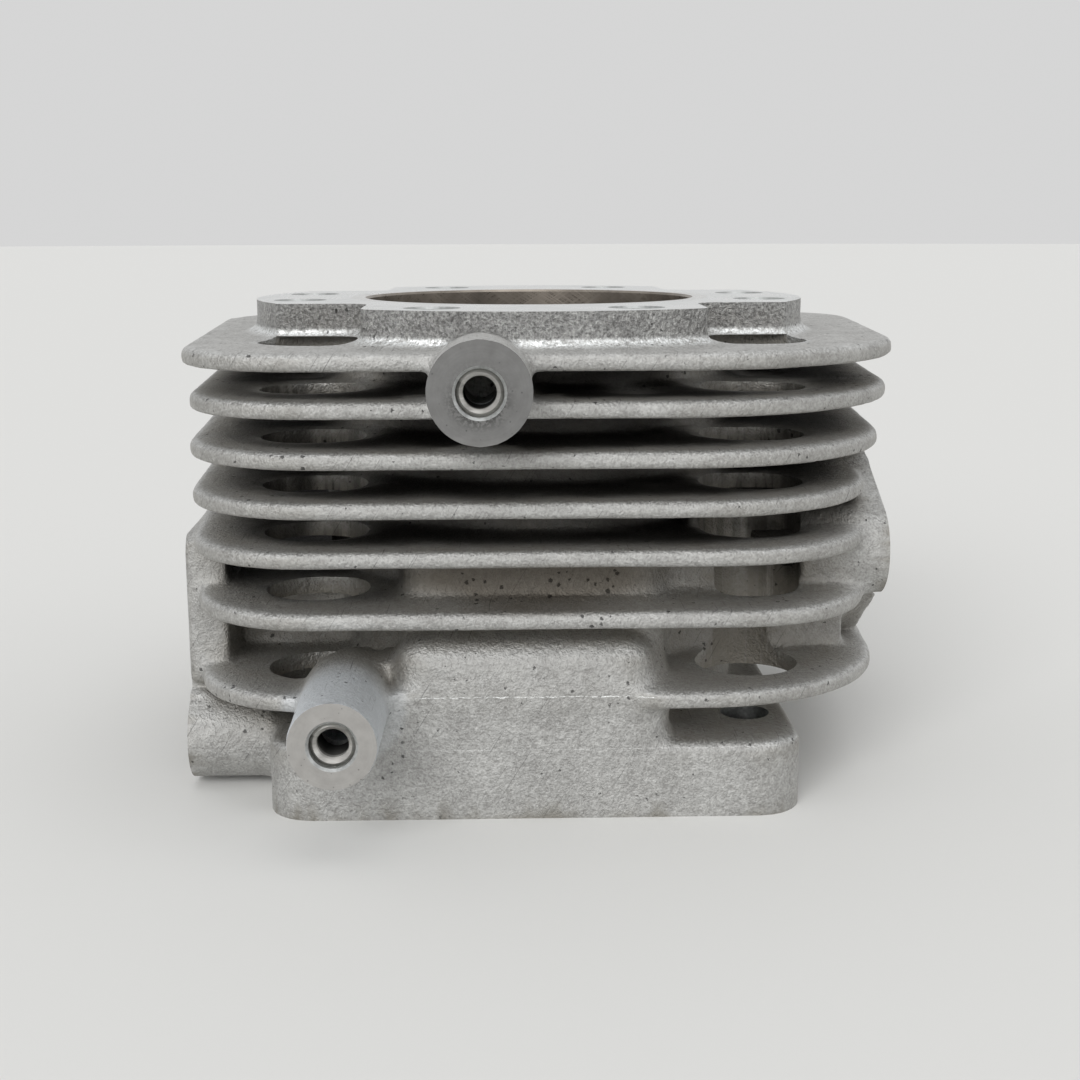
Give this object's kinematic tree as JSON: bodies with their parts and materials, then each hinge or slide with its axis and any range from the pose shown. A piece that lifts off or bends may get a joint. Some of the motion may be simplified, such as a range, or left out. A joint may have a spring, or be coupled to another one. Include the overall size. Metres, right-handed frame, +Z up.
{
  "type": "small engine cylinder barrel",
  "caption": "Air-cooled two-stroke cylinder barrel with cooling fins, an open machined head deck, side ports and a crankcase flange.",
  "frame": {"origin": "bore axis on the crankcase gasket face", "axes": "+Z up the bore to the head deck, +X out of the exhaust port, -Y towards the two cover bosses"},
  "size_m": [0.1089, 0.106, 0.07],
  "materials": {
    "cast_aluminium": "blasted die casting, machined on its faces",
    "liner_iron": "honed",
    "insert_steel": "drawn wire"
  },
  "bodies": {
    "root": {"cylinder_casting": "cast_aluminium", "cylinder_liner": "liner_iron", "head_thread_inserts": "insert_steel", "exhaust_thread_inserts": "insert_steel", "intake_thread_inserts": "insert_steel", "cover_thread_inserts": "insert_steel"}
  },
  "joints": []
}
